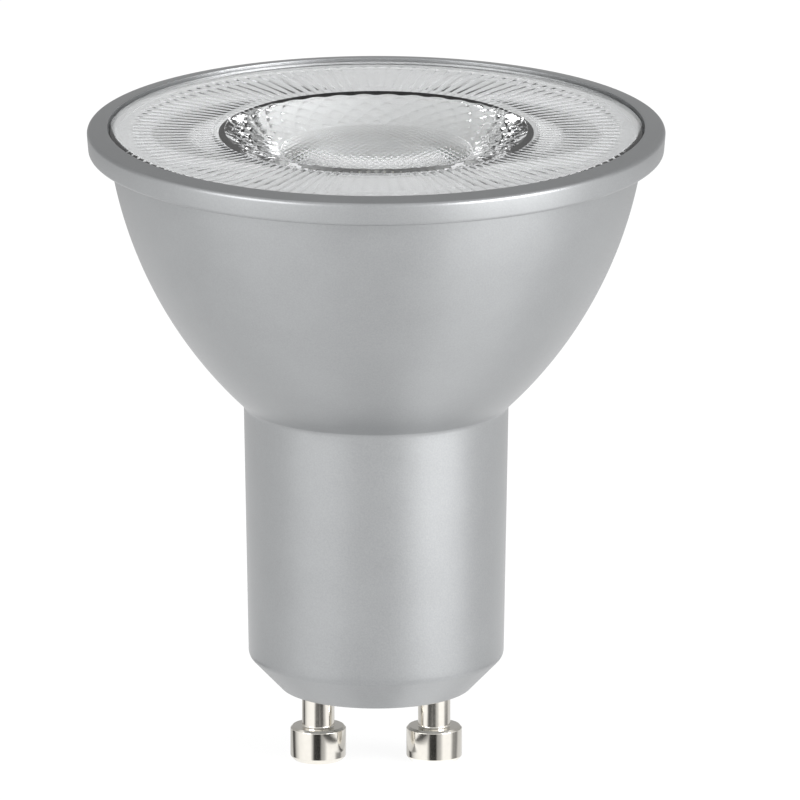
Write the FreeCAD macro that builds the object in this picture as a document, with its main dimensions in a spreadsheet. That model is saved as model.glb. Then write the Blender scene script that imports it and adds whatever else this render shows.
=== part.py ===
import FreeCAD, Part
import Sketcher
import math
import os
import re

# A GU10 spotlight bulb with a moulded reflector-shaped housing and a clear optic.
# The lamp stands on its two contact pins. The origin is at the middle of their feet,
# +Z runs up the lamp's axis to the optic, and the pins lie on the X axis.

Vector = FreeCAD.Vector
document = FreeCAD.newDocument("spotlight_bulb")

# Driving dimensions, in millimetres
SIZES = {
    # contact pins
    "pin_spacing": 10.0,
    "pin_head_radius": 2.4,
    "pin_head_height": 3.0,
    "pin_foot_chamfer": 0.35,
    "pin_shoulder_chamfer": 0.15,
    "pin_neck_radius": 1.4,
    "pin_neck_height": 3.6,
    "pin_shank_radius": 1.2,
    "pin_lip_radius": 1.5,
    "pin_lip_height": 0.5,
    "pin_fit": 0.03,
    "socket_depth": 3.6,
    "socket_fit": 0.05,
    # housing
    "base_cone_width": 2.8,
    "base_face_round": 0.3,
    "base_cone_height": 2.9,
    "base_floor": 2.0,
    "barrel_draft": 0.43,
    "barrel_foot_round": 0.9,
    "barrel_top_radius": 11.43,
    "barrel_height": 22.3,
    "neck_round": 0.6,
    "bowl_height": 22.3,
    "bowl_arc_radius": 38.08,
    "wall": 1.2,
    "rim_radius": 25.0,
    "rim_overhang": 1.97,
    "rim_width": 1.8,
    "rim_band_height": 1.8,
    "rim_slope_rise": 0.5,
    "rim_top_round": 0.45,
    "rim_foot_round": 0.35,
    "crest_width": 0.15,
    # seat of the heat sink inside the bowl
    "ledge_depth": 12.5,
    "ledge_width": 1.2,
    # guide rails of the driver board inside the barrel
    "rail_height": 18.0,
    "rail_depth": 1.0,
    "rail_thickness": 1.0,
    "rail_root": 0.35,
    "board_stop_height": 3.5,
    # optic
    "optic_clearance": 0.1,
    "optic_sink": 0.3,
    "flange_thickness": 1.0,
    "flange_chamfer": 0.2,
    "optic_margin": 1.7,
    "rib_gap": 1.3,
    "rib_depth": 0.15,
    "rib_width": 0.36,
    "rib_count": 120,
    "recess_radius": 13.1,
    "recess_lip_width": 0.6,
    "recess_lip_depth": 0.6,
    "recess_floor_radius": 8.35,
    "recess_depth": 1.74,
    "recess_dome": 0.3,
    "facet_columns": 36,
    "facet_bands": 5,
    "facet_bulge": 0.16,
    "collimator_overlap": 0.5,
    "collimator_foot_radius": 8.8,
    "collimator_arc_radius": 30.0,
    "collimator_gap": 0.5,
    "well_mouth_radius": 7.7,
    "well_top_radius": 7.0,
    "well_height": 5.4,
    "well_dome": 1.4,
    # heat sink cup
    "sink_fit": 0.1,
    "sink_wall": 1.0,
    "sink_floor": 1.5,
    "sink_round": 0.5,
    # white cover between the heat sink and the optic
    "cover_thickness": 0.5,
    "cover_gap": 0.1,
    "cover_lip_width": 0.8,
    "cover_wall": 0.8,
    "cover_skirt_gap": 0.5,
    "cover_bore_radius": 10.6,
    "cover_foot_gap": 2.1,
    # light source board
    "led_board_gap": 1.2,
    "led_board_thickness": 1.0,
    "led_ring_radius": 5.2,
    "led_ring_count": 6,
    "led_width": 2.8,
    "led_length": 3.5,
    "led_height": 0.8,
    "led_frame": 0.3,
    "led_well_depth": 0.15,
    "wire_hole_radius": 2.5,
    "wire_hole_edge": 3.5,
    # screws of the light source board
    "screw_edge": 2.4,
    "screw_radius": 1.0,
    "screw_tip_radius": 0.5,
    "screw_head_radius": 2.0,
    "screw_head_height": 1.3,
    "screw_head_round": 0.6,
    "screw_length": 3.6,
    "screw_tip_height": 1.0,
    "screw_hole_fit": 0.15,
    "screw_thread_fit": 0.03,
    "screw_slot_width": 0.45,
    "screw_slot_length": 2.2,
    "screw_slot_depth": 0.6,
    # driver board
    "board_edge_gap": 0.6,
    "board_top_gap": 4.0,
    "board_thickness": 1.0,
    "board_fit": 0.1,
    # leads
    "lead_radius": 0.5,
    "lead_bend": 1.1,
    "mains_lead_landing": 3.4,
    "led_lead_place": 1.2,
    "led_lead_spread": 0.8,
    "led_lead_landing": 5.0,
    "led_lead_crossing": 2.2,
    "led_pad_place": 4.4,
    # components, drawn for a board of this width and height and following it in proportion
    "drawn_board_width": 18.4,
    "drawn_board_height": 25.0,
    "bulk_radius": 4.0,
    "bulk_height": 12.0,
    "bulk_rise": 2.0,
    "output_radius": 3.15,
    "output_height": 9.0,
    "can_gap": 1.0,
    "can_round": 0.5,
    "can_groove_depth": 0.3,
    "can_groove_width": 0.8,
    "can_groove_rise": 1.6,
    "choke_radius": 4.0,
    "choke_height": 10.0,
    "choke_flange": 1.2,
    "choke_post_radius": 1.9,
    "choke_inset": 0.35,
    "choke_rise": 6.0,
    "resistor_radius": 1.5,
    "resistor_length": 8.0,
    "resistor_cap": 1.4,
    "resistor_waist": 0.15,
    "side_place": 6.0,
    "resistor_rise": 6.0,
    "film_width": 3.5,
    "film_depth": 4.0,
    "film_height": 7.2,
    "film_round": 0.5,
    "film_rise": 6.0,
    "chip_standoff": 0.1,
    "chip_lead_thickness": 0.25,
    "chip_lead_reach": 0.75,
    "bridge_width": 3.9,
    "bridge_length": 4.7,
    "bridge_height": 2.5,
    "bridge_lead_width": 0.7,
    "bridge_lead_pitch": 2.54,
    "bridge_rise": 3.2,
    "controller_width": 3.9,
    "controller_length": 4.9,
    "controller_height": 1.5,
    "controller_lead_width": 0.45,
    "controller_lead_pitch": 1.27,
    "controller_place": -5.0,
    "controller_rise": 19.0,
    "diode_width": 2.6,
    "diode_length": 4.3,
    "diode_height": 2.2,
    "diode_lead_width": 1.4,
    "diode_place": 5.4,
    "diode_rise": 19.0,
    "sense_width": 3.2,
    "sense_length": 1.6,
    "sense_height": 0.6,
    "sense_lead_width": 1.4,
    "sense_place": 5.2,
    "sense_rise": 13.5,
    "sense_pitch": 2.4,
}

# Sizes that follow from the driving ones, as formulas of their names
DERIVED = {
    "pin_place": "pin_spacing / 2",
    "base_level": "pin_head_height + pin_neck_height",
    "floor_level": "base_level + base_floor",
    "barrel_level": "base_level + base_cone_height",
    "bowl_level": "barrel_level + barrel_height",
    "rim_level": "bowl_level + bowl_height",
    "rim_edge_level": "rim_level + rim_band_height",
    "crest_level": "rim_edge_level + rim_slope_rise",
    "barrel_foot_radius": "barrel_top_radius - barrel_draft",
    "base_face_radius": "barrel_foot_radius - base_cone_width",
    "bowl_top_radius": "rim_radius - rim_overhang",
    "seat_radius": "rim_radius - rim_width",
    "optic_radius": "seat_radius - optic_clearance",
    "optic_level": "crest_level - optic_sink",
    "flange_level": "optic_level - flange_thickness",
    "cover_level": "flange_level - cover_gap",
    "seat_level": "cover_level - cover_thickness",
    "rib_outer_radius": "optic_radius - optic_margin",
    "rib_inner_radius": "recess_radius + rib_gap",
    "collimator_top_radius": "recess_radius + collimator_overlap",
    # the bowl's arc through the top of the barrel and the foot of the rim
    "bowl_widening": "bowl_top_radius - barrel_top_radius",
    "bowl_chord": "sqrt(bowl_widening ^ 2 + bowl_height ^ 2)",
    "bowl_lean": "sqrt(bowl_arc_radius ^ 2 - bowl_chord ^ 2 / 4) / bowl_chord",
    "bowl_centre_radius": "barrel_top_radius + bowl_widening / 2 - bowl_lean * bowl_height",
    "bowl_centre_level": "bowl_level + bowl_height / 2 + bowl_lean * bowl_widening",
    # the inner face of the barrel and of the cone under it
    "bore_foot_radius": "barrel_foot_radius - wall",
    "bore_top_radius": "barrel_top_radius - wall",
    "cone_wall": "wall * sqrt(base_cone_width ^ 2 + base_cone_height ^ 2) / base_cone_height",
    "cone_floor_radius":
        "base_face_radius + base_cone_width * base_floor / base_cone_height - cone_wall",
    "bore_foot_level":
        "barrel_level + (cone_wall - wall) * base_cone_height / base_cone_width",
    "bore_top_level":
        "bowl_centre_level - sqrt((bowl_arc_radius - wall) ^ 2"
        " - (bore_top_radius - bowl_centre_radius) ^ 2)",
    # heat sink, light source board and driver board
    "ledge_level": "seat_level - ledge_depth",
    "sink_floor_level": "ledge_level + sink_floor",
    "sink_inside": "wall + sink_fit + sink_wall",
    "led_board_level": "sink_floor_level + led_board_thickness",
    "led_board_radius":
        "bowl_centre_radius + sqrt((bowl_arc_radius - sink_inside) ^ 2"
        " - (sink_floor_level - bowl_centre_level) ^ 2) - led_board_gap",
    "screw_place": "led_board_radius - screw_edge",
    "wire_hole_place": "led_board_radius - wire_hole_edge",
    "collimator_level": "led_board_level + collimator_gap",
    "recess_level": "optic_level - recess_depth",
    "recess_arc_radius": "(recess_floor_radius ^ 2 + recess_dome ^ 2) / (2 * recess_dome)",
    "well_arc_radius": "(well_top_radius ^ 2 + well_dome ^ 2) / (2 * well_dome)",
    "board_level": "barrel_level + board_stop_height",
    "board_top_level": "ledge_level - board_top_gap",
    "board_height": "board_top_level - board_level",
    "board_width": "2 * (bore_foot_radius - board_edge_gap)",
    "across": "board_width / drawn_board_width",
    "upward": "board_height / drawn_board_height",
    "board_face": "board_thickness / 2",
    "board_slot": "board_thickness / 2 + board_fit",
    "rail_inner": "board_width / 2 - rail_depth",
    "rail_outer": "bore_top_radius + rail_root",
}


def bind(text):
    """Turn a formula of names into one that the document understands."""
    def replace(match):
        word = match.group(0)
        if word in DERIVED:
            return "(" + bind(DERIVED[word]) + ")"
        if word in SIZES:
            return "Sizes." + word
        return word
    return re.sub(r"[a-z_]+", replace, text)


def value(text):
    """Give the number that a formula has now."""
    return float(sheet.evalExpression(bind(text)))


def bowl_radius(level, depth):
    """Give the formula of the bowl's radius at a level, at a depth under its outer face."""
    return (f"bowl_centre_radius + sqrt((bowl_arc_radius - {depth}) ^ 2"
            f" - ({level} - bowl_centre_level) ^ 2)")


# Document helpers
sheet = document.addObject("Spreadsheet::Sheet", "Sizes")
for row, (alias, number) in enumerate(SIZES.items(), start=1):
    sheet.set(f"A{row}", alias)
    sheet.set(f"B{row}", str(number))
    sheet.setAlias(f"B{row}", alias)
document.recompute()

ORIGIN = (-1, 1)
TINY = 1e-4
pieces = []
cuts = []


def new_body(label):
    """Start a sub-part that is built from sketches and features."""
    body = document.addObject("PartDesign::Body", label)
    body.Label = label
    pieces.append(body)
    return body


def origin_feature(body, role):
    """Find an origin plane or axis of a body by its role."""
    return next(item for item in body.Origin.OriginFeatures if item.Role == role)


def new_sketch(body, role, offset="0"):
    """Attach a sketch to an origin plane, moved along that plane's normal."""
    sketch = body.newObject("Sketcher::SketchObject", body.Label + "_sketch")
    sketch.AttachmentSupport = [(origin_feature(body, role), "")]
    sketch.MapMode = "FlatFace"
    sketch.setExpression("AttachmentOffset.Base.z", bind(offset))
    return sketch


def pin_down(sketch, item, spot, x, y):
    """Fix a point of a sketch at a place that two formulas give."""
    for kind, text in (("DistanceX", x), ("DistanceY", y)):
        number = sketch.addConstraint(
            Sketcher.Constraint(kind, *ORIGIN, item, spot, value(text)))
        sketch.setExpression(f"Constraints[{number}]", bind(text))


def arc_between(start, end, radius, side):
    """Make an arc from start to end whose centre lies left (1) or right (-1) of the way."""
    along = end - start
    middle = (start + end) * 0.5
    normal = Vector(-along.y, along.x, 0).normalize() * side
    reach = math.sqrt(radius ** 2 - (along.Length / 2) ** 2)
    return Part.Arc(start, middle + normal * (reach - radius), end)


def outline(sketch, corners):
    """Close an outline through corners (x, y), or (x, y, radius, side) where an arc leaves."""
    spots = [Vector(value(corner[0]), value(corner[1]), 0) for corner in corners]
    ends = []
    for number, corner in enumerate(corners):
        start = spots[number]
        end = spots[(number + 1) % len(corners)]
        if len(corner) == 2:
            item = sketch.addGeometry(Part.LineSegment(start, end))
        else:
            item = sketch.addGeometry(arc_between(start, end, value(corner[2]), corner[3]))
        first = 1 if sketch.getPoint(item, 1).distanceToPoint(start) < TINY else 2
        ends.append((item, first, 3 - first))
    for number, corner in enumerate(corners):
        item, first, last = ends[number]
        following, following_first, unused = ends[(number + 1) % len(corners)]
        sketch.addConstraint(
            Sketcher.Constraint("Coincident", item, last, following, following_first))
        pin_down(sketch, item, first, corner[0], corner[1])
        if len(corner) == 4:
            radius = sketch.addConstraint(
                Sketcher.Constraint("Radius", item, value(corner[2])))
            sketch.setExpression(f"Constraints[{radius}]", bind(corner[2]))


def rectangle(sketch, left, low, right, high):
    """Draw a rectangle between four formulas."""
    outline(sketch, [(left, low), (right, low), (right, high), (left, high)])


def centred_box(sketch, x, y, width, height):
    """Draw a rectangle about a middle."""
    rectangle(sketch, f"{x} - {width} / 2", f"{y} - {height} / 2",
              f"{x} + {width} / 2", f"{y} + {height} / 2")


def circle(sketch, x, y, radius):
    """Draw a circle."""
    centre = Vector(value(x), value(y), 0)
    item = sketch.addGeometry(Part.Circle(centre, Vector(0, 0, 1), value(radius)))
    pin_down(sketch, item, 3, x, y)
    number = sketch.addConstraint(Sketcher.Constraint("Radius", item, value(radius)))
    sketch.setExpression(f"Constraints[{number}]", bind(radius))


def revolve(body, corners):
    """Turn an outline of (radius, level) corners about the body's own Z axis."""
    sketch = new_sketch(body, "XZ_Plane")
    outline(sketch, corners)
    feature = body.newObject("PartDesign::Revolution", body.Label + "_revolution")
    feature.Profile = sketch
    feature.ReferenceAxis = (sketch, ["V_Axis"])
    document.recompute()
    return feature


def pad(body, sketch, length):
    """Raise a sketch along its normal."""
    feature = body.newObject("PartDesign::Pad", body.Label + "_pad")
    feature.Profile = sketch
    feature.setExpression("Length", bind(length))
    document.recompute()
    return feature


def pocket(body, sketch, depth, forward=False):
    """Cut a sketch into the body, against its normal or forward along it."""
    before = body.Shape.Volume
    feature = body.newObject("PartDesign::Pocket", body.Label + "_pocket")
    feature.Profile = sketch
    feature.Reversed = forward
    feature.setExpression("Length", bind(depth))
    document.recompute()
    cuts.append((feature, before))
    return feature


def polar_pattern(body, feature, count):
    """Repeat a feature evenly round the body's Z axis."""
    pattern = body.newObject("PartDesign::PolarPattern", body.Label + "_pattern")
    pattern.Originals = [feature]
    pattern.Axis = (origin_feature(body, "Z_Axis"), [""])
    pattern.Angle = 360
    pattern.setExpression("Occurrences", bind(count))
    body.Tip = pattern
    document.recompute()
    return pattern


def ring_edges(shape, radius, level):
    """Name the round edges of a shape that have a radius and lie at a level."""
    names = []
    for number, edge in enumerate(shape.Edges, start=1):
        if not isinstance(edge.Curve, Part.Circle):
            continue
        wrong_radius = abs(edge.Curve.Radius - value(radius)) > TINY
        wrong_level = abs(edge.Curve.Center.z - value(level)) > TINY
        if not wrong_radius and not wrong_level:
            names.append(f"Edge{number}")
    return names


def round_edges(body, size, rings):
    """Round the edges that lie on rings of (radius, level)."""
    base = body.Tip
    names = [name for ring in rings for name in ring_edges(base.Shape, *ring)]
    feature = body.newObject("PartDesign::Fillet", body.Label + "_round")
    feature.Base = (base, names)
    feature.setExpression("Radius", bind(size))
    document.recompute()
    return feature


def place(piece, x="0", y="0", level="0", turn=None):
    """Put a sub-part at its place in the lamp, after an optional turn."""
    if turn is not None:
        piece.Placement = FreeCAD.Placement(Vector(0, 0, 0), turn)
    for axis, text in (("x", x), ("y", y), ("z", level)):
        piece.setExpression(f"Placement.Base.{axis}", bind(text))


TURN_TO_FRONT = FreeCAD.Rotation(Vector(1, 0, 0), 90)
TURN_TO_BACK = FreeCAD.Rotation(Vector(1, 0, 0), -90)


# Housing: one moulded shell of base cone, barrel, bowl and rim
def make_housing():
    housing = new_body("housing")
    ledge_radius = f"{bowl_radius('ledge_level', 'wall')} - ledge_width"
    ledge_foot = (f"bowl_centre_level - sqrt((bowl_arc_radius - wall) ^ 2"
                  f" - ({ledge_radius} - bowl_centre_radius) ^ 2)")
    inner_arc = "bowl_arc_radius - wall"
    revolve(housing, [
        ("0", "base_level"),
        ("base_face_radius", "base_level"),
        ("barrel_foot_radius", "barrel_level"),
        ("barrel_top_radius", "bowl_level", "bowl_arc_radius", 1),
        ("bowl_top_radius", "rim_level"),
        ("rim_radius", "rim_level"),
        ("rim_radius", "rim_edge_level"),
        ("seat_radius + crest_width", "crest_level"),
        ("seat_radius", "crest_level"),
        ("seat_radius", "seat_level"),
        (bowl_radius("seat_level", "wall"), "seat_level", inner_arc, -1),
        (bowl_radius("ledge_level", "wall"), "ledge_level"),
        (ledge_radius, "ledge_level"),
        (ledge_radius, ledge_foot, inner_arc, -1),
        ("bore_top_radius", "bore_top_level"),
        ("bore_foot_radius", "bore_foot_level"),
        ("cone_floor_radius", "floor_level"),
        ("0", "floor_level"),
    ])
    round_edges(housing, "barrel_foot_round", [("barrel_foot_radius", "barrel_level")])
    round_edges(housing, "base_face_round", [("base_face_radius", "base_level")])
    round_edges(housing, "neck_round", [("barrel_top_radius", "bowl_level")])
    round_edges(housing, "rim_top_round", [("rim_radius", "rim_edge_level")])
    round_edges(housing, "rim_foot_round", [("rim_radius", "rim_level")])

    rails = new_sketch(housing, "XY_Plane", "barrel_level")
    rectangle(rails, "rail_inner", "board_slot", "rail_outer", "board_slot + rail_thickness")
    rectangle(rails, "rail_inner", "-board_slot - rail_thickness", "rail_outer", "-board_slot")
    rectangle(rails, "-rail_outer", "board_slot", "-rail_inner", "board_slot + rail_thickness")
    rectangle(rails, "-rail_outer", "-board_slot - rail_thickness", "-rail_inner",
              "-board_slot")
    pad(housing, rails, "rail_height")
    stops = new_sketch(housing, "XY_Plane", "barrel_level")
    rectangle(stops, "rail_inner", "-board_slot", "rail_outer", "board_slot")
    rectangle(stops, "-rail_outer", "-board_slot", "-rail_inner", "board_slot")
    pad(housing, stops, "board_stop_height")

    bores = new_sketch(housing, "XY_Plane", "floor_level")
    circle(bores, "pin_place", "0", "pin_shank_radius + pin_fit")
    circle(bores, "-pin_place", "0", "pin_shank_radius + pin_fit")
    pocket(housing, bores, "base_floor")


# Contact pins: turned, riveted through the base, with a socket for the lead
def make_contact_pin(label, x):
    pin = new_body(label)
    neck_level = "pin_head_height"
    lip_top = "(floor_level + pin_lip_height)"
    socket_radius = "lead_radius + socket_fit"
    revolve(pin, [
        ("0", "0"),
        ("pin_head_radius - pin_foot_chamfer", "0"),
        ("pin_head_radius", "pin_foot_chamfer"),
        ("pin_head_radius", f"{neck_level} - pin_shoulder_chamfer"),
        ("pin_head_radius - pin_shoulder_chamfer", neck_level),
        ("pin_neck_radius", neck_level),
        ("pin_neck_radius", "base_level"),
        ("pin_shank_radius", "base_level"),
        ("pin_shank_radius", "floor_level"),
        ("pin_lip_radius", "floor_level"),
        ("pin_shank_radius", lip_top),
        (socket_radius, lip_top),
        (socket_radius, f"{lip_top} - socket_depth"),
        ("0", f"{lip_top} - socket_depth"),
    ])
    place(pin, x)


# Optic: one clear moulding with radial ribs, a faceted recess and a collimator
def make_facet_core():
    """Make the solid whose side is the recess's smooth lip and its faceted wall.

    The wall is a grid of bands and half columns on a cone. Every second point bulges into
    the recess, so that each diamond of four triangles is one flat-sided pebble. The lip
    runs on above the wall, through the edge of the recess and as far again.
    """
    bands = int(value("facet_bands"))
    steps = 2 * int(value("facet_columns"))
    top = value("optic_level - recess_lip_depth")
    depth = value("recess_depth - recess_lip_depth")
    outer = value("recess_radius - recess_lip_width")
    width = outer - value("recess_floor_radius")
    bulge = value("facet_bulge")
    slope = math.hypot(width, depth)

    def grid_point(band, step):
        share = band / bands
        raised = 0 < band < bands and (band + step) % 2 == 1
        lift = bulge if raised else 0
        radius = outer - share * width - lift * depth / slope
        level = top - share * depth + lift * width / slope
        angle = 2 * math.pi * (step % steps) / steps
        return Vector(radius * math.cos(angle), radius * math.sin(angle), level)

    def level_ring(radius, level):
        angles = [2 * math.pi * step / steps for step in range(steps)]
        return [Vector(radius * math.cos(angle), radius * math.sin(angle), level)
                for angle in angles]

    faces = []

    def add_face(*points):
        faces.append(Part.Face(Part.makePolygon(list(points) + [points[0]])))

    for band in range(bands):
        for step in range(steps):
            here = grid_point(band, step)
            beside = grid_point(band, step + 1)
            below = grid_point(band + 1, step)
            across = grid_point(band + 1, step + 1)
            if (band + step) % 2 == 0:
                add_face(here, below, beside)
                add_face(beside, below, across)
            else:
                add_face(here, across, beside)
                add_face(here, below, across)
    lip_end = level_ring(value("recess_radius + recess_lip_width"),
                         value("optic_level + recess_lip_depth"))
    foot_end = level_ring(value("recess_floor_radius"), top - 2 * depth)
    for band, cap in ((0, lip_end), (bands, foot_end)):
        for step in range(steps):
            following = (step + 1) % steps
            low = grid_point(band, step)
            low_next = grid_point(band, following)
            add_face(low, low_next, cap[following], cap[step])
        add_face(*cap)
    core = document.addObject("Part::Feature", "facet_core")
    core.Shape = Part.Solid(Part.Shell(faces))
    return core


def make_optic():
    blank = document.addObject("PartDesign::Body", "optic_blank")
    well_level = "(collimator_level + well_height)"
    revolve(blank, [
        ("0", f"{well_level} - well_dome", "well_arc_radius", 1),
        ("well_top_radius", well_level),
        ("well_mouth_radius", "collimator_level"),
        ("collimator_foot_radius", "collimator_level", "collimator_arc_radius", 1),
        ("collimator_top_radius", "flange_level"),
        ("optic_radius", "flange_level"),
        ("optic_radius", "optic_level - flange_chamfer"),
        ("optic_radius - flange_chamfer", "optic_level"),
        ("0", "optic_level"),
    ])
    groove = new_sketch(blank, "YZ_Plane", "rib_inner_radius")
    outline(groove, [
        ("-rib_width / 2", "optic_level"),
        ("0", "optic_level - rib_depth"),
        ("rib_width / 2", "optic_level"),
    ])
    cut = pocket(blank, groove, "rib_outer_radius - rib_inner_radius", forward=True)
    polar_pattern(blank, cut, "rib_count")

    above_floor = document.addObject("PartDesign::Body", "recess_space")
    reach = "(recess_radius + 2 * recess_lip_width)"
    dome_top = "recess_level + recess_dome"
    edge_drop = f"recess_arc_radius - sqrt(recess_arc_radius ^ 2 - {reach} ^ 2)"
    revolve(above_floor, [
        ("0", dome_top, "recess_arc_radius", -1),
        (reach, f"{dome_top} - ({edge_drop})"),
        (reach, "optic_level + recess_depth"),
        ("0", "optic_level + recess_depth"),
    ])
    recess = document.addObject("Part::Common", "recess")
    recess.Base = make_facet_core()
    recess.Tool = above_floor
    optic = document.addObject("Part::Cut", "optic")
    optic.Base = blank
    optic.Tool = recess
    optic.Label = "optic"
    pieces.append(optic)
    document.recompute()


# Heat sink: an aluminium cup pressed into the bowl
def make_heat_sink():
    sink = new_body("heat_sink")
    outside = "(wall + sink_fit)"
    revolve(sink, [
        ("0", "ledge_level"),
        (bowl_radius("ledge_level", outside), "ledge_level",
         f"bowl_arc_radius - {outside}", 1),
        (bowl_radius("seat_level", outside), "seat_level"),
        (bowl_radius("seat_level", "sink_inside"), "seat_level",
         "bowl_arc_radius - sink_inside", -1),
        (bowl_radius("sink_floor_level", "sink_inside"), "sink_floor_level"),
        ("0", "sink_floor_level"),
    ])
    round_edges(sink, "sink_round", [(bowl_radius("ledge_level", outside), "ledge_level")])
    holes = new_sketch(sink, "XY_Plane", "sink_floor_level")
    circle(holes, "0", "wire_hole_place", "wire_hole_radius")
    circle(holes, "screw_place", "0", "screw_radius + screw_thread_fit")
    circle(holes, "-screw_place", "0", "screw_radius + screw_thread_fit")
    pocket(sink, holes, "sink_floor")


# White cover: a flat ring on the housing's seat, with a skirt round the collimator and a
# low lip that carries the optic
def make_reflector_cover():
    cover = new_body("reflector_cover")
    skirt_top = "(collimator_top_radius + cover_skirt_gap)"
    foot = "(led_board_level + cover_foot_gap)"
    revolve(cover, [
        ("cover_bore_radius", foot),
        ("cover_bore_radius + cover_wall", foot),
        (f"{skirt_top} + cover_wall", "seat_level"),
        ("optic_radius", "seat_level"),
        ("optic_radius", "flange_level"),
        ("optic_radius - cover_lip_width", "flange_level"),
        ("optic_radius - cover_lip_width", "cover_level"),
        (skirt_top, "cover_level"),
    ])


# Light source: a round board, its light-emitting packages and its screws
def make_led_board():
    board = new_body("led_board")
    disc = new_sketch(board, "XY_Plane", "sink_floor_level")
    circle(disc, "0", "0", "led_board_radius")
    circle(disc, "0", "wire_hole_place", "wire_hole_radius")
    circle(disc, "screw_place", "0", "screw_radius + screw_hole_fit")
    circle(disc, "-screw_place", "0", "screw_radius + screw_hole_fit")
    pad(board, disc, "led_board_thickness")


def make_led_package(number, radius, angle):
    package = new_body(f"led_package_{number}")
    base = new_sketch(package, "XY_Plane")
    centred_box(base, radius, "0", "led_width", "led_length")
    pad(package, base, "led_height")
    window = new_sketch(package, "XY_Plane", "led_height")
    centred_box(window, radius, "0", "(led_width - 2 * led_frame)", "(led_length - 2 * led_frame)")
    pocket(package, window, "led_well_depth")
    place(package, level="led_board_level", turn=FreeCAD.Rotation(Vector(0, 0, 1), angle))


def make_board_screw(label, x):
    screw = new_body(label)
    revolve(screw, [
        ("0", "led_board_level - screw_length"),
        ("screw_tip_radius", "led_board_level - screw_length"),
        ("screw_radius", "led_board_level - screw_length + screw_tip_height"),
        ("screw_radius", "led_board_level"),
        ("screw_head_radius", "led_board_level"),
        ("screw_head_radius", "led_board_level + screw_head_height"),
        ("0", "led_board_level + screw_head_height"),
    ])
    round_edges(screw, "screw_head_round",
                [("screw_head_radius", "led_board_level + screw_head_height")])
    for width, length in (("screw_slot_width", "screw_slot_length"),
                          ("screw_slot_length", "screw_slot_width")):
        slot = new_sketch(screw, "XY_Plane", "led_board_level + screw_head_height")
        centred_box(slot, "0", "0", width, length)
        pocket(screw, slot, "screw_slot_depth")
    place(screw, x)


# Driver: the upright board between the housing's rails, and its components
def make_driver_board():
    board = new_body("driver_board")
    face = new_sketch(board, "XZ_Plane", "-board_face")
    rectangle(face, "-board_width / 2", "board_level", "board_width / 2", "board_top_level")
    pad(board, face, "board_thickness")


def make_can(label, radius, length, rise):
    """Make a rolled aluminium can with its sealing groove, lying on the board's front."""
    can = new_body(label)
    revolve(can, [
        ("0", "0"),
        (radius, "0"),
        (radius, "can_groove_rise"),
        (f"{radius} - can_groove_depth", "can_groove_rise + can_groove_width / 2"),
        (radius, "can_groove_rise + can_groove_width"),
        (radius, length),
        ("0", length),
    ])
    round_edges(can, "can_round", [(radius, length), (radius, "0")])
    place(can, "0", f"-board_face - {radius}", f"board_level + {rise}")


def make_choke():
    core = new_body("choke_core")
    radius = "(choke_radius * across)"
    post = "choke_post_radius * across"
    height = "choke_height * upward"
    upper = f"({height} - choke_flange)"
    revolve(core, [
        ("0", "0"),
        (radius, "0"),
        (radius, "choke_flange"),
        (post, "choke_flange"),
        (post, upper),
        (radius, upper),
        (radius, height),
        ("0", height),
    ])
    winding = new_body("choke_winding")
    revolve(winding, [
        (post, "choke_flange"),
        (f"{radius} - choke_inset", "choke_flange"),
        (f"{radius} - choke_inset", upper),
        (post, upper),
    ])
    for piece in (core, winding):
        place(piece, "0", f"board_face + {radius}", "board_level + choke_rise * upward")


def make_fusible_resistor():
    resistor = new_body("fusible_resistor")
    radius = "(resistor_radius * across)"
    length = "resistor_length * upward"
    waist = f"({radius} - resistor_waist)"
    upper = f"({length} - resistor_cap)"
    revolve(resistor, [
        ("0", "0"),
        (radius, "0"),
        (radius, "resistor_cap"),
        (waist, "resistor_cap + resistor_waist"),
        (waist, f"{upper} - resistor_waist"),
        (radius, upper),
        (radius, length),
        ("0", length),
    ])
    place(resistor, "-side_place * across", f"-board_face - {radius}",
          "board_level + resistor_rise * upward")


def make_film_capacitor():
    film = new_body("film_capacitor")
    base = new_sketch(film, "XY_Plane")
    depth = "film_depth * across"
    centred_box(base, "0", "0", "film_width * across", "film_height * upward")
    feature = pad(film, base, depth)
    corners = []
    for number, edge in enumerate(feature.Shape.Edges, start=1):
        low, high = edge.BoundBox.ZMin, edge.BoundBox.ZMax
        if high > value(depth) - TINY and high - low < TINY or high - low > TINY:
            corners.append(f"Edge{number}")
    rounding = film.newObject("PartDesign::Fillet", "film_round")
    rounding.Base = (feature, corners)
    rounding.setExpression("Radius", bind("film_round"))
    document.recompute()
    place(film, "side_place * across", "-board_face",
          "board_level + (film_rise + film_height / 2) * upward", TURN_TO_FRONT)


def make_chip(label, kind, x, level, lead_spots):
    """Make a moulded component on the board's back, with flat leads along two sides.

    Its sizes are the values whose names start with kind, and lead_spots lists the leads'
    places along the side.
    """
    chip = new_body(label)
    base = new_sketch(chip, "XY_Plane", "chip_standoff")
    centred_box(base, "0", "0", f"{kind}_width * across", f"{kind}_length * upward")
    pad(chip, base, f"{kind}_height - chip_standoff")
    leads = new_sketch(chip, "XY_Plane")
    for spot in lead_spots:
        centred_box(leads, "0", spot, f"({kind}_width * across + 2 * chip_lead_reach)",
                    f"{kind}_lead_width")
    pad(chip, leads, "chip_lead_thickness")
    place(chip, x, "board_face", level, TURN_TO_BACK)


def lead_row(kind, count):
    """Give the places of a row of leads, evenly spaced about the middle."""
    return [f"{kind}_lead_pitch * upward * {index - (count - 1) / 2}"
            for index in range(count)]


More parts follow.
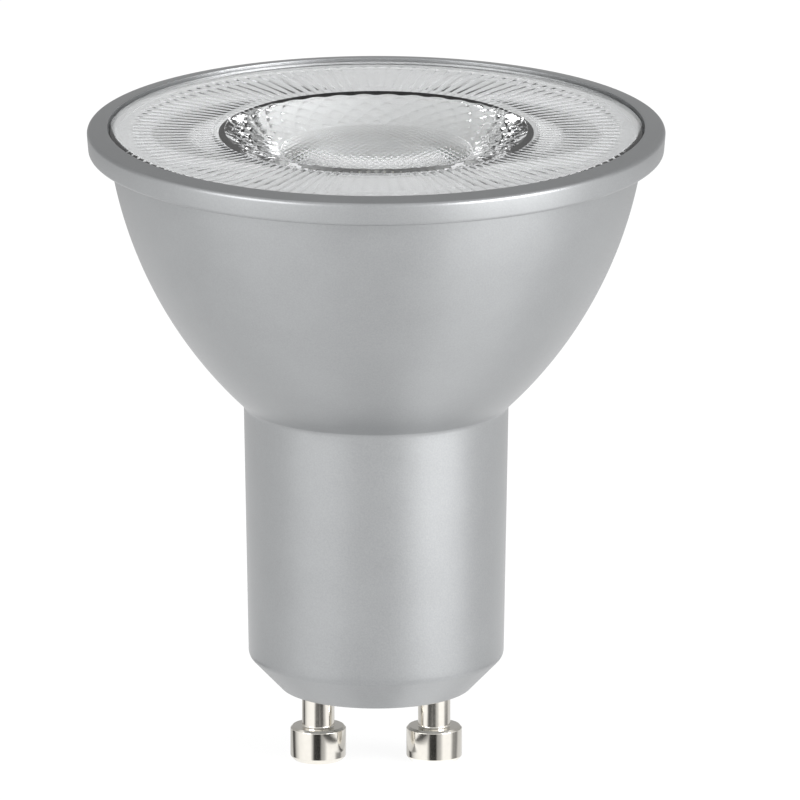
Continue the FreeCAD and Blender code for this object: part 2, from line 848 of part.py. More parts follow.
def make_components():
    make_can("bulk_capacitor", "(bulk_radius * across)", "bulk_height * upward",
             "bulk_rise * upward")
    make_can("output_capacitor", "(output_radius * across)", "output_height * upward",
             "(bulk_rise + bulk_height + can_gap) * upward")
    make_choke()
    make_fusible_resistor()
    make_film_capacitor()
    make_chip("bridge_rectifier", "bridge", "0", "board_level + bridge_rise * upward",
              lead_row("bridge", 2))
    make_chip("controller_chip", "controller", "controller_place * across",
              "board_level + controller_rise * upward", lead_row("controller", 4))
    make_chip("freewheel_diode", "diode", "diode_place * across",
              "board_level + diode_rise * upward", ["0"])
    for number in (1, 2):
        make_chip(f"sense_resistor_{number}", "sense", "sense_place * across",
                  f"board_level + (sense_rise - sense_pitch * {number - 1}) * upward", ["0"])


# Leads: round wires along straight runs joined by tangent arcs
def make_lead(label, route):
    points = [Vector(*(value(text) for text in spot)) for spot in route]
    edges = []
    start = points[0]
    for before, corner, after in zip(points, points[1:], points[2:]):
        inward = (before - corner).normalize()
        outward = (after - corner).normalize()
        half_turn = (math.pi - inward.getAngle(outward)) / 2
        tangent = 0.45 * min(before.distanceToPoint(corner), after.distanceToPoint(corner))
        radius = tangent / math.tan(half_turn)
        bisector = (inward + outward).normalize()
        middle = corner + bisector * (radius / math.cos(half_turn) - radius)
        enter = corner + inward * tangent
        leave = corner + outward * tangent
        edges.append(Part.LineSegment(start, enter).toShape())
        edges.append(Part.Arc(enter, middle, leave).toShape())
        start = leave
        print(label, "bend radius", round(radius, 2))
    edges.append(Part.LineSegment(start, points[-1]).toShape())
    path = Part.Wire(edges)
    section = Part.Wire(Part.makeCircle(value("lead_radius"), points[0], points[1] - points[0]))
    lead = document.addObject("Part::Feature", label)
    lead.Shape = path.makePipeShell([section], True, True)
    lead.Label = label
    pieces.append(lead)
    expected = math.pi * value("lead_radius") ** 2 * path.Length
    print(label, "volume", round(lead.Shape.Volume, 3), "section times length", round(expected, 3))


def make_leads():
    lip_top = "floor_level + pin_lip_height"
    for label, x in (("mains_lead_left", "-pin_place"), ("mains_lead_right", "pin_place")):
        make_lead(label, [
            (x, "0", f"{lip_top} - socket_depth"),
            (x, "0", f"{lip_top} + lead_bend"),
            (x, "-board_face - lead_radius", "board_level - lead_bend"),
            (x, "-board_face - lead_radius", "board_level + mains_lead_landing"),
        ])
    for label, side in (("led_lead_positive", ""), ("led_lead_negative", "-")):
        back = "board_face + lead_radius"
        make_lead(label, [
            (f"{side}led_lead_place", back, "board_top_level - led_lead_landing"),
            (f"{side}led_lead_place", back, "board_top_level"),
            (f"{side}led_lead_spread", "wire_hole_place", "board_top_level + led_lead_crossing"),
            (f"{side}led_lead_spread", "wire_hole_place", "led_board_level + lead_radius"),
            (f"{side}led_pad_place", "wire_hole_place", "led_board_level + lead_radius"),
        ])


make_housing()
make_contact_pin("contact_pin_left", "-pin_place")
make_contact_pin("contact_pin_right", "pin_place")
make_optic()
make_heat_sink()
make_reflector_cover()
make_led_board()
make_led_package(1, "0", 0)
for index in range(int(value("led_ring_count"))):
    make_led_package(index + 2, "led_ring_radius", 360 * index / value("led_ring_count"))
make_board_screw("board_screw_left", "-screw_place")
make_board_screw("board_screw_right", "screw_place")
make_driver_board()
make_components()
make_leads()
document.recompute()

# Checks before writing
for item in document.Objects:
    if "Invalid" in item.State or "Error" in item.State:
        raise RuntimeError(f"{item.Label} failed: {item.State}")
for feature, before in cuts:
    if feature.Shape.Volume > before - TINY:
        raise RuntimeError(f"{feature.Label} cuts nothing")
os.makedirs("parts", exist_ok=True)
for piece in pieces:
    if piece.Shape.isNull() or not piece.Shape.isValid():
        raise RuntimeError(f"{piece.Label} has no sound shape")
    piece.Shape.exportStep(f"parts/{piece.Label}.step")
    print(piece.Label, "volume", round(piece.Shape.Volume, 1), "solids", len(piece.Shape.Solids))
print("sub-parts", len(pieces))
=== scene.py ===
# %% [markdown]
# # A spotlight bulb, finished on its measured model
# The lamp is a silver moulded housing with a clear optic in its mouth and two turned pins
# under it. The measured model already holds every piece at its real place, so this lesson
# only gives those pieces their surfaces: finer meshes where a smooth gleam or a lens has to
# look right, and a finish for everything else.

# %% Load the measured model
import math

import bpy
import numpy as np
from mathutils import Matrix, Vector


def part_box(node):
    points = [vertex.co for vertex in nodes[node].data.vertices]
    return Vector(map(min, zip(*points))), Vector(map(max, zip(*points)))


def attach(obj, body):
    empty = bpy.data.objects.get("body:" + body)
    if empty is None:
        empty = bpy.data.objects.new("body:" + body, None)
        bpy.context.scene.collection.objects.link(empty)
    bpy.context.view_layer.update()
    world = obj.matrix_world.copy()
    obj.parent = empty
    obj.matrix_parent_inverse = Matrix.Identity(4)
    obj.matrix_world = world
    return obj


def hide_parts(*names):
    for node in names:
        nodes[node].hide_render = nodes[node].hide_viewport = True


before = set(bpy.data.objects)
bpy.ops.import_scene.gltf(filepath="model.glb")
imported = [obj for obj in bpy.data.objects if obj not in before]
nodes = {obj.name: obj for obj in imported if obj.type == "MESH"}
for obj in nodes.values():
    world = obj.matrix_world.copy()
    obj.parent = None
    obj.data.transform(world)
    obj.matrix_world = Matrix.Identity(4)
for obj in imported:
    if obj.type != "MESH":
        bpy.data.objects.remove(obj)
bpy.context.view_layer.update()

MM = 0.001


def node_size(name):
    """Give a node's lowest and highest corner, in millimetres."""
    low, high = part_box(name)
    return np.array(low) / MM, np.array(high) / MM


print("nodes in the model:", len(nodes))

# %% [markdown]
# ## Surfaces from arrays
# Nearly every piece of this lamp was turned, or moulded in a turned tool. Such a surface
# is a stack of rings, one for each step along a profile. A profile that starts and ends on
# the axis closes by itself into a solid, with one point at each pole. A ring may also give
# every angle a level of its own, and that is how the optic gets its ribs and its lenses.
# Where the detail gets finer, the next ring simply has twice the points.

# %% Turned rings become a mesh
def between_rings(low_start, low_count, high_start, high_count):
    """Give the quads and triangles between two rings of points, the lower ring first.

    Equal rings are joined by quads. A pole is joined by one triangle for each step. Where
    one ring has twice the points of the other, three triangles close each coarse step.
    """
    if 1 in (low_count, high_count):
        step = np.arange(max(low_count, high_count))
    else:
        step = np.arange(min(low_count, high_count))
    after = (step + 1) % len(step)
    low, low_after = low_start + step, low_start + after
    high, high_after = high_start + step, high_start + after
    if low_count == high_count:
        return np.stack([low, low_after, high_after, high], axis=1), np.empty((0, 3), int)
    if low_count == 1:
        sides = [(np.full(high_count, low_start), high_after, high)]
    elif high_count == 1:
        sides = [(low, low_after, np.full(low_count, high_start))]
    elif low_count > high_count:
        left, right = low_start + 2 * step, low_start + 2 * after
        sides = [(left, left + 1, high), (left + 1, high_after, high),
                 (left + 1, right, high_after)]
    else:
        left, right = high_start + 2 * step, high_start + 2 * after
        sides = [(low, left + 1, left), (low, low_after, left + 1),
                 (low_after, right, left + 1)]
    triangles = np.concatenate([np.stack(side, axis=1) for side in sides])
    return np.empty((0, 4), int), triangles


def turned_mesh(name, rings, centre_x=0.0):
    """Make a closed mesh from rings of (radius, levels) carried round the Z axis.

    A ring has a point (radius cos a, radius sin a, level) at as many even angles a as it
    has levels. The first and last rings are poles. Rings run from the bottom pole outwards,
    so the faces point outwards.
    """
    points, quads, triangles = [], [], []
    start = before = 0
    for radius, level in rings:
        count = len(level)
        angle = np.linspace(0, 2 * math.pi, count, endpoint=False)
        points.append(np.stack([centre_x + radius * np.cos(angle), radius * np.sin(angle),
                                level], axis=1))
        if start:
            four, three = between_rings(start - before, before, start, count)
            quads.append(four)
            triangles.append(three)
        start, before = start + count, count
    return mesh_object(name, np.concatenate(points) * MM, np.concatenate(quads),
                       np.concatenate(triangles))


def even_rings(profile, turns):
    """Turn a profile that starts and ends on the axis into level rings."""
    counts = [1] + [turns] * (len(profile) - 2) + [1]
    return [(radius, np.full(count, level))
            for (radius, level), count in zip(profile, counts)]


def mesh_object(name, points, quads, triangles):
    """Put points, four-sided faces and triangles into a new smooth-shaded object."""
    mesh = bpy.data.meshes.new(name)
    corners = np.concatenate([quads.ravel(), triangles.ravel()]).astype(np.int32)
    sides = np.concatenate([np.full(len(quads), 4), np.full(len(triangles), 3)])
    starts = np.concatenate([[0], np.cumsum(sides)[:-1]]).astype(np.int32)
    mesh.vertices.add(len(points))
    mesh.vertices.foreach_set("co", points.astype(np.float32).ravel())
    mesh.loops.add(len(corners))
    mesh.loops.foreach_set("vertex_index", corners)
    mesh.polygons.add(len(sides))
    mesh.polygons.foreach_set("loop_start", starts)
    mesh.polygons.foreach_set("use_smooth", np.ones(len(sides), bool))
    mesh.update()
    mesh.validate()
    made = bpy.data.objects.new(name, mesh)
    bpy.context.scene.collection.objects.link(made)
    return made


# %% [markdown]
# ## Rounded profiles
# A sharp corner on a model shows as a hard black line, because no real edge is that sharp.
# Each profile is therefore written as its few corner points with a radius at each one, and
# a helper swaps every corner for the arc that touches both of its sides. The arc gives the
# edge the thin bright line that a real moulding has.

# %% Corners become arcs
ARC_STEPS = 6
NEARLY_STRAIGHT = math.radians(89)


def rounded(corners):
    """Turn corners (radius, level, rounding) into a profile with tangent arcs.

    An arc of radius r between two sides that meet at angle 2h starts r / tan h from the
    corner, and its centre lies r / sin h from it along the bisector.
    """
    spots = np.array([corner[:2] for corner in corners], float)
    profile = [spots[:1]]
    for index in range(1, len(corners) - 1):
        size = corners[index][2]
        back = spots[index - 1] - spots[index]
        ahead = spots[index + 1] - spots[index]
        back /= np.linalg.norm(back)
        ahead /= np.linalg.norm(ahead)
        half = math.acos(np.clip(back @ ahead, -1, 1)) / 2
        if size == 0 or half > NEARLY_STRAIGHT:
            profile.append(spots[index:index + 1])
            continue
        bisector = (back + ahead) / np.linalg.norm(back + ahead)
        centre = spots[index] + bisector * size / math.sin(half)
        begin = spots[index] + back * size / math.tan(half) - centre
        end = spots[index] + ahead * size / math.tan(half) - centre
        blend = np.linspace(0, 1, ARC_STEPS)[:, None]
        arc = begin * (1 - blend) + end * blend
        arc *= size / np.linalg.norm(arc, axis=1, keepdims=True)
        profile.append(centre + arc)
    profile.append(spots[-1:])
    return np.concatenate(profile)


def arc_points(start, end, size, count):
    """Sample an arc from start to end, bulging to the right of the way, without its ends."""
    start, end = np.array(start, float), np.array(end, float)
    along = end - start
    length = np.linalg.norm(along)
    left = np.array([-along[1], along[0]]) / length
    centre = (start + end) / 2 + left * math.sqrt(size ** 2 - length ** 2 / 4)
    blend = np.linspace(0, 1, count + 2)[1:-1, None]
    chord = start * (1 - blend) + end * blend - centre
    return centre + chord * size / np.linalg.norm(chord, axis=1, keepdims=True)


def sharp(points):
    """Give each point of an array the rounding 0."""
    return [(x, z, 0) for x, z in points]


# %% [markdown]
# ## The housing
# One moulded shell: a short cone at the foot, a barrel that widens a little, a bowl on one
# long arc, and the rim band with its sloping top face. Its main levels are read from the
# measured model, and the small roundings are those of the moulding tool. The inner wall
# follows at the thickness of the shell, so that the piece is a true shell and not a plug.

# %% Housing sizes
housing_low, housing_high = node_size("housing")
optic_low, optic_high = node_size("optic")
rim_radius = housing_high[0]
base_level = housing_low[2]
crest_level = housing_high[2]
optic_level = optic_high[2]
optic_radius = optic_high[0]

WALL = 1.2
BASE_FACE_RADIUS = 8.2
BASE_CONE_HEIGHT = 2.9
BASE_FLOOR = 2.0
BARREL_FOOT_RADIUS = 11.0
BARREL_TOP_RADIUS = 11.43
BARREL_HEIGHT = 22.3
BOWL_HEIGHT = 22.3
BOWL_TOP_RADIUS = 23.03
BOWL_ARC = 38.08
RIM_DRAFT = 0.17
RIM_BAND_HEIGHT = 2.0
SEAT_GAP = 0.1
CREST_WIDTH = 0.15
SEAT_DEPTH = 1.6
LEDGE_HEIGHT = 10.2
LEDGE_WIDTH = 1.2
BASE_EDGE, CONE_EDGE, BARREL_TOP_EDGE = 0.3, 0.9, 0.6
RIM_FOOT_EDGE, RIM_EDGE = 0.12, 0.35
CREST_OUTER_EDGE, CREST_INNER_EDGE = 0.06, 0.05
BARREL_ROWS, BOWL_ROWS, INNER_ROWS = 22, 60, 12
HOUSING_TURNS = 256
CREASE_DEGREES = 40

barrel_level = base_level + BASE_CONE_HEIGHT
bowl_level = barrel_level + BARREL_HEIGHT
rim_level = bowl_level + BOWL_HEIGHT
seat_level = optic_level - SEAT_DEPTH
floor_level = base_level + BASE_FLOOR
print("rim radius", round(rim_radius, 2), "crest level", round(crest_level, 2))


# %% The bowl's arc at any depth
def bowl_centre():
    """Give the centre of the bowl's arc through the barrel's top and the rim's foot."""
    low = np.array([BARREL_TOP_RADIUS, bowl_level])
    high = np.array([BOWL_TOP_RADIUS, rim_level])
    along = high - low
    length = np.linalg.norm(along)
    left = np.array([-along[1], along[0]]) / length
    return (low + high) / 2 + left * math.sqrt(BOWL_ARC ** 2 - length ** 2 / 4)


def bowl_radius(level, depth):
    """Give the bowl's radius at a level, at a depth under its outer face."""
    centre = bowl_centre()
    return centre[0] + np.sqrt((BOWL_ARC - depth) ** 2 - (level - centre[1]) ** 2)


def bowl_level_at(radius, depth):
    """Give the level at which the bowl has a radius, at a depth under its outer face."""
    centre = bowl_centre()
    return centre[1] - math.sqrt((BOWL_ARC - depth) ** 2 - (radius - centre[0]) ** 2)


def bowl_rows(low, high, depth, count):
    """Sample the bowl between two levels, without the ends."""
    levels = np.linspace(low, high, count + 2)[1:-1]
    return np.stack([bowl_radius(levels, depth), levels], axis=1)


# %% The housing's outline
def housing_profile():
    """Walk round the shell's section, from the base's middle out, up, and back inside."""
    ledge_level = bowl_level + LEDGE_HEIGHT
    ledge_radius = bowl_radius(ledge_level, WALL) - LEDGE_WIDTH
    ledge_foot = bowl_level_at(ledge_radius, WALL)
    bore_top = BARREL_TOP_RADIUS - WALL
    bore_top_level = bowl_level_at(bore_top, WALL)
    widening = BARREL_FOOT_RADIUS - BASE_FACE_RADIUS
    cone_wall = WALL * math.hypot(widening, BASE_CONE_HEIGHT) / BASE_CONE_HEIGHT
    cone_floor = BASE_FACE_RADIUS + widening * BASE_FLOOR / BASE_CONE_HEIGHT - cone_wall
    bore_foot = BARREL_FOOT_RADIUS - WALL
    bore_foot_level = barrel_level + (cone_wall - WALL) * BASE_CONE_HEIGHT / widening
    corners = [(0, base_level, 0), (BASE_FACE_RADIUS, base_level, BASE_EDGE),
               (BARREL_FOOT_RADIUS, barrel_level, CONE_EDGE)]
    rise = np.linspace(0, 1, BARREL_ROWS + 2)[1:-1, None]
    foot = np.array([BARREL_FOOT_RADIUS, barrel_level])
    top = np.array([BARREL_TOP_RADIUS, bowl_level])
    corners += sharp(foot * (1 - rise) + top * rise)
    corners += [(BARREL_TOP_RADIUS, bowl_level, BARREL_TOP_EDGE)]
    corners += sharp(bowl_rows(bowl_level + BARREL_TOP_EDGE, rim_level, 0, BOWL_ROWS))
    corners += [
        (BOWL_TOP_RADIUS, rim_level, RIM_FOOT_EDGE),
        (rim_radius - RIM_DRAFT, rim_level, RIM_EDGE),
        (rim_radius, rim_level + RIM_BAND_HEIGHT, RIM_EDGE),
        (optic_radius + SEAT_GAP + CREST_WIDTH, crest_level, CREST_OUTER_EDGE),
        (optic_radius + SEAT_GAP, crest_level, CREST_INNER_EDGE),
        (optic_radius + SEAT_GAP, seat_level, 0),
        (bowl_radius(seat_level, WALL), seat_level, 0),
    ]
    corners += sharp(bowl_rows(ledge_level, seat_level, WALL, INNER_ROWS)[::-1])
    corners += [(bowl_radius(ledge_level, WALL), ledge_level, 0),
                (ledge_radius, ledge_level, 0), (ledge_radius, ledge_foot, 0)]
    corners += sharp(bowl_rows(bore_top_level, ledge_foot, WALL, INNER_ROWS)[::-1])
    corners += [(bore_top, bore_top_level, 0), (bore_foot, bore_foot_level, 0),
                (cone_floor, floor_level, 0), (0, floor_level, 0)]
    return rounded(corners)


def keep_crisp(piece, degrees=CREASE_DEGREES):
    """Keep true corners sharp and let the rest shade smoothly."""
    piece.data.set_sharp_from_angle(angle=math.radians(degrees))


outline = housing_profile()
housing = turned_mesh("housing_shell", even_rings(outline, HOUSING_TURNS))
keep_crisp(housing)
print("housing rows", len(outline), "faces", len(housing.data.polygons))

# %% [markdown]
# ## The optic
# The lamp's face is one clear moulding. Round its edge runs a smooth margin, then a band of
# fine radial ribs, then a shallow recess whose sloping wall is cut into pebbles, and on the
# recess's floor a carpet of tiny lenses over the collimator. All of this is one height over
# the polar grid, so each zone is a formula of radius and angle, and no modelling by hand is
# needed. Under the flange the same grid carries on round the collimator's bell and well.

# %% Optic sizes
FLANGE = 1.0
RIB_OUTER = 21.4
RIB_INNER = 13.9
RIB_COUNT = 120
RIB_DEPTH = 0.022
RIB_END_DEPTH = 2.5
RIB_OUTER_FADE = 1.1
RIB_INNER_FADE = 0.5
RECESS_RADIUS = 13.1
LIP_WIDTH = 0.6
LIP_DEPTH = 0.22
FLOOR_RADIUS = 8.35
RECESS_DEPTH = 1.74
FLOOR_DOME = 0.3
PEBBLE_COLUMNS = 36
PEBBLE_BANDS = 5
PEBBLE_BULGE = 0.16
PEBBLE_FADE = 0.06
LENSLET_PITCH = 0.652
LENSLET_HEIGHT = 0.14
LENSLET_FADE = 0.3
COLLIMATOR_TOP = 13.6
COLLIMATOR_FOOT = 8.8
COLLIMATOR_ARC = 30.0
WELL_MOUTH = 7.7
WELL_TOP = 7.0
WELL_HEIGHT = 5.4
WELL_DOME = 1.4
FLANGE_CHAMFER = 0.08
CEILING_RINGS, BELL_RINGS = 12, 14
FINE_TURNS = 720
MARGIN_RING = 22.2
RIB_RINGS = (19.3, 18.2, 16.5, 15.2)
RIB_OUTER_RINGS, RIB_INNER_RINGS = 7, 5
RECESS_EDGE = 0.05
WALL_RINGS = 37
HALF_TURNS_RADIUS, QUARTER_TURNS_RADIUS = 4.5, 2.2
FINE_FLOOR_RINGS, HALF_FLOOR_RINGS, QUARTER_FLOOR_RINGS = 37, 22, 19
OPTIC_CREASE_DEGREES = 50
LOOKS_UP = 0.05
WALL_RADIUS = RECESS_RADIUS - LIP_WIDTH


# %% Each zone of the face as a height
def ease(value):
    """Rise smoothly from 0 to 1: three times the square less twice the cube."""
    value = np.clip(value, 0, 1)
    return value * value * (3 - 2 * value)


def rib_sink(radius, angle):
    """Give how far a rib's surface lies under its ridge.

    Across one rib the place s runs from -1 to 1 and the surface sinks with the fourth power
    of s, which leaves a narrow crease between neighbours. The crease gets deeper with the
    fourth power of the way from the band's middle, and fades out at both of its ends.
    """
    place = (angle * RIB_COUNT / (2 * math.pi)) % 1.0 * 2 - 1
    fade = (ease((RIB_OUTER - radius) / RIB_OUTER_FADE)
            * ease((radius - RIB_INNER) / RIB_INNER_FADE))
    from_middle = (2 * radius - RIB_OUTER - RIB_INNER) / (RIB_OUTER - RIB_INNER)
    return RIB_DEPTH * (1 + RIB_END_DEPTH * from_middle ** 4) * place ** 4 * fade


def pebble_bulge(radius, angle):
    """Give how far a pebble stands out of the recess's wall.

    Half columns u and bands w are turned by 45 degrees into p and q. Each unit cell of p and
    q is one pebble, and its height is the product of two parabolas.
    """
    share = (WALL_RADIUS - radius) / (WALL_RADIUS - FLOOR_RADIUS)
    band = share * PEBBLE_BANDS
    column = angle * PEBBLE_COLUMNS / math.pi
    p = ((column + band) / 2) % 1.0
    q = ((column - band) / 2) % 1.0
    dome = 16 * p * (1 - p) * q * (1 - q)
    fade = ease(share / PEBBLE_FADE) * ease((1 - share) / PEBBLE_FADE)
    return PEBBLE_BULGE * dome * fade


def lenslet_rise(radius, angle):
    """Give the height of the tiny lenses: a dome over the nearest centre of a honeycomb."""
    x, y = radius * np.cos(angle), radius * np.sin(angle)
    across, along = LENSLET_PITCH, LENSLET_PITCH * math.sqrt(3)
    near = [((x + dx) % across - across / 2) ** 2 + ((y + dy) % along - along / 2) ** 2
            for dx, dy in ((0, 0), (across / 2, along / 2))]
    reach = LENSLET_PITCH ** 2 / 3
    return LENSLET_HEIGHT * (1 - np.minimum(*near) / reach)


def face_level(radius, angle):
    """Join the zones of the optic's face into one height over the grid."""
    floor_arc = (FLOOR_RADIUS ** 2 + FLOOR_DOME ** 2) / (2 * FLOOR_DOME)
    floor = (optic_level - RECESS_DEPTH + FLOOR_DOME - floor_arc
             + np.sqrt(floor_arc ** 2 - np.minimum(radius, RECESS_RADIUS) ** 2))
    inside = ease((FLOOR_RADIUS - radius) / LENSLET_FADE)
    floor = floor + lenslet_rise(radius, angle) * inside
    share = (WALL_RADIUS - radius) / (WALL_RADIUS - FLOOR_RADIUS)
    wall = (optic_level - LIP_DEPTH - (RECESS_DEPTH - LIP_DEPTH) * share
            + pebble_bulge(radius, angle))
    lip = optic_level - LIP_DEPTH * (RECESS_RADIUS - radius) / LIP_WIDTH
    ribs = optic_level - rib_sink(radius, angle)
    return np.select([radius <= FLOOR_RADIUS, radius < WALL_RADIUS, radius < RECESS_RADIUS],
                     [floor, wall, lip], ribs)


# %% The optic's grid
def optic_underside():
    """Give the profile from the well's middle round the bell to the flange's top edge."""
    flange_level = optic_level - FLANGE
    foot_level = optic_low[2]
    well_level = foot_level + WELL_HEIGHT
    well_arc = (WELL_TOP ** 2 + WELL_DOME ** 2) / (2 * WELL_DOME)
    out = np.linspace(0, WELL_TOP, CEILING_RINGS)
    ceiling = np.stack(
        [out, well_level - WELL_DOME + well_arc - np.sqrt(well_arc ** 2 - out ** 2)], axis=1)
    bell = arc_points((COLLIMATOR_FOOT, foot_level), (COLLIMATOR_TOP, flange_level),
                      COLLIMATOR_ARC, BELL_RINGS)
    return np.concatenate([
        ceiling,
        [(WELL_MOUTH, foot_level), (COLLIMATOR_FOOT, foot_level)],
        bell,
        [(COLLIMATOR_TOP, flange_level), (optic_radius, flange_level),
         (optic_radius, optic_level - FLANGE_CHAMFER),
         (optic_radius - FLANGE_CHAMFER, optic_level)]])


def face_rings():
    """Give the rings of the face from its edge to its middle, coarser where they are small."""
    half, quarter = HALF_TURNS_RADIUS, QUARTER_TURNS_RADIUS
    outer = np.concatenate([
        [MARGIN_RING],
        np.linspace(RIB_OUTER, RIB_OUTER - RIB_OUTER_FADE, RIB_OUTER_RINGS), RIB_RINGS,
        np.linspace(RIB_INNER + RIB_INNER_FADE, RIB_INNER, RIB_INNER_RINGS),
        [RECESS_RADIUS + RECESS_EDGE, RECESS_RADIUS, RECESS_RADIUS - RECESS_EDGE],
        np.linspace(WALL_RADIUS, FLOOR_RADIUS, WALL_RINGS + 1)[:-1],
        np.linspace(FLOOR_RADIUS, half, FINE_FLOOR_RINGS)])
    zones = [(outer, FINE_TURNS),
             (np.linspace(half, quarter, HALF_FLOOR_RINGS + 1)[1:], FINE_TURNS // 2),
             (np.linspace(quarter, 0, QUARTER_FLOOR_RINGS + 2)[1:-1], FINE_TURNS // 4),
             (np.zeros(1), 1)]
    rings = []
    for radii, turns in zones:
        angle = np.linspace(0, 2 * math.pi, turns, endpoint=False)
        levels = face_level(radii[:, None], angle[None, :])
        rings += list(zip(radii, np.broadcast_to(levels, (len(radii), turns))))
    return rings


under_rings = even_rings(optic_underside(), FINE_TURNS // 2)
edge_radius, edge_level = under_rings.pop()
edge_rings = [(edge_radius, np.full(FINE_TURNS, edge_level[0]))]
optic_rings = under_rings + edge_rings + face_rings()
optic = turned_mesh("clear_optic", optic_rings)
keep_crisp(optic, OPTIC_CREASE_DEGREES)
facing = np.empty(len(optic.data.polygons) * 3)
optic.data.polygons.foreach_get("normal", facing)
frosted_side = facing[2::3] < LOOKS_UP
optic.data.polygons.foreach_set("material_index", frosted_side.astype(np.int32))
print("optic rings", len(optic_rings), "triangles",
      sum(len(face.vertices) - 2 for face in optic.data.polygons))

# %% [markdown]
# ## The contact pins
# Each pin is turned from rod and plated: a wide head that is chamfered at both edges, a slim
# neck up to the base, and a shank that goes through it and is spread over inside. They share
# one profile and differ only in their place on the X axis.

# %% Contact pins
PIN_HEAD_RADIUS = 2.4
PIN_HEAD_HEIGHT = 3.0
PIN_NECK_RADIUS = 1.4
PIN_SHANK_RADIUS = 1.2
PIN_LIP_RADIUS = 1.7
PIN_SOCKET_RADIUS = 0.55
PIN_SOCKET_DEPTH = 3.6
PIN_FOOT_CHAMFER, PIN_TOP_CHAMFER = 0.35, 0.2
PIN_EDGES = {"sole": 0.1, "foot": 0.25, "side": 0.08, "top": 0.05, "neck": 0.12}
PIN_TURNS = 96


def contact_pin(name, centre_x, top_level):
    """Turn a pin about its own axis, from its foot up to its socket."""
    socket_level = top_level - PIN_SOCKET_DEPTH
    profile = rounded([
        (0, 0, 0), (PIN_HEAD_RADIUS - PIN_FOOT_CHAMFER, 0, PIN_EDGES["sole"]),
        (PIN_HEAD_RADIUS, PIN_FOOT_CHAMFER, PIN_EDGES["foot"]),
        (PIN_HEAD_RADIUS, PIN_HEAD_HEIGHT - PIN_TOP_CHAMFER, PIN_EDGES["side"]),
        (PIN_HEAD_RADIUS - PIN_TOP_CHAMFER, PIN_HEAD_HEIGHT, PIN_EDGES["top"]),
        (PIN_NECK_RADIUS, PIN_HEAD_HEIGHT, PIN_EDGES["neck"]),
        (PIN_NECK_RADIUS, base_level, 0),
        (PIN_SHANK_RADIUS, base_level, 0), (PIN_SHANK_RADIUS, floor_level, 0),
        (PIN_LIP_RADIUS, floor_level, 0), (PIN_SHANK_RADIUS, top_level, 0),
        (PIN_SOCKET_RADIUS, top_level, 0), (PIN_SOCKET_RADIUS, socket_level, 0),
        (0, socket_level, 0)])
    pin = turned_mesh(name, even_rings(profile, PIN_TURNS), centre_x)
    keep_crisp(pin)
    return pin


pins = []
for side in ("left", "right"):
    low, high = node_size(f"contact_pin_{side}")
    pins.append(contact_pin(f"turned_pin_{side}", (low[0] + high[0]) / 2, high[2]))
print("pins", [pin.name for pin in pins])

# %% [markdown]
# ## The white cover
# Under the optic's flange lies a flat matt white ring with a skirt round the collimator. It
# hides the board and its screws, and it is what gives the ribs their pale ground. Its
# section is a closed loop away from the axis, so the grid wraps both ways.

# %% White cover
def ring_mesh(name, loop, turns):
    """Carry a closed section round the Z axis. The section runs anticlockwise, up outside."""
    rows = len(loop)
    angle = np.linspace(0, 2 * math.pi, turns, endpoint=False)
    radius, level = loop[:, :1], np.repeat(loop[:, 1:], turns, axis=1)
    points = np.stack([radius * np.cos(angle), radius * np.sin(angle), level], axis=2)
    row, step = np.meshgrid(np.arange(rows), np.arange(turns), indexing="ij")
    row_after, step_after = (row + 1) % rows, (step + 1) % turns
    quads = np.stack([row * turns + step, row * turns + step_after,
                      row_after * turns + step_after, row_after * turns + step], axis=2)
    return mesh_object(name, points.reshape(-1, 3) * MM, quads.reshape(-1, 4),
                       np.empty((0, 3), int))


cover_low, cover_high = node_size("reflector_cover")
COVER_THICKNESS = 0.5
COVER_WALL = 0.8
COVER_BORE = 10.6
COVER_SKIRT_TOP = 14.1
COVER_GAP = 0.1
COVER_LIP_WIDTH = 0.8
COVER_LIP_GAP = 0.06
COVER_TURNS = 192
cover_edge = cover_high[0]
ring_top = optic_level - FLANGE - COVER_GAP
ring_low = ring_top - COVER_THICKNESS
lip_level = optic_level - FLANGE - COVER_LIP_GAP
cover = ring_mesh("white_cover", np.array([
    (COVER_BORE, cover_low[2]), (COVER_BORE + COVER_WALL, cover_low[2]),
    (COVER_SKIRT_TOP + COVER_WALL, ring_low), (cover_edge, ring_low),
    (cover_edge, lip_level), (cover_edge - COVER_LIP_WIDTH, lip_level),
    (cover_edge - COVER_LIP_WIDTH, ring_top), (COVER_SKIRT_TOP, ring_top),
]), COVER_TURNS)
keep_crisp(cover)
print("cover faces", len(cover.data.polygons))

# %% [markdown]
# ## Nodes in few words
# A material is a graph of nodes, and most of its nodes only do one sum. The first helper
# adds any node and feeds it. The other three add the common kinds and hand back the output,
# so that a graph reads like a formula.

# %% Node helpers
def add_node(tree, kind, feeds=(), **settings):
    """Add a node, change its settings and feed its sockets, by a dict of names or numbers.

    A feed that is another node's output gets linked, and any other value is put in.
    """
    node = tree.nodes.new(kind)
    for name, setting in settings.items():
        setattr(node, name, setting)
    for socket, feed in dict(feeds).items():
        if isinstance(feed, bpy.types.NodeSocket):
            tree.links.new(feed, node.inputs[socket])
        else:
            node.inputs[socket].default_value = feed
    return node


def maths(tree, operation, *feeds):
    """Add one sum, with its feeds in their order, and give its output."""
    node = add_node(tree, "ShaderNodeMath", dict(enumerate(feeds)), operation=operation)
    return node.outputs[0]


def smooth_step(tree, feed, start, full, low=0.0, high=1.0):
    """Add a smooth step from low to high as the feed goes from start to full."""
    feeds = {"Value": feed, "From Min": start, "From Max": full, "To Min": low,
             "To Max": high}
    node = add_node(tree, "ShaderNodeMapRange", feeds, interpolation_type="SMOOTHSTEP")
    return node.outputs["Result"]


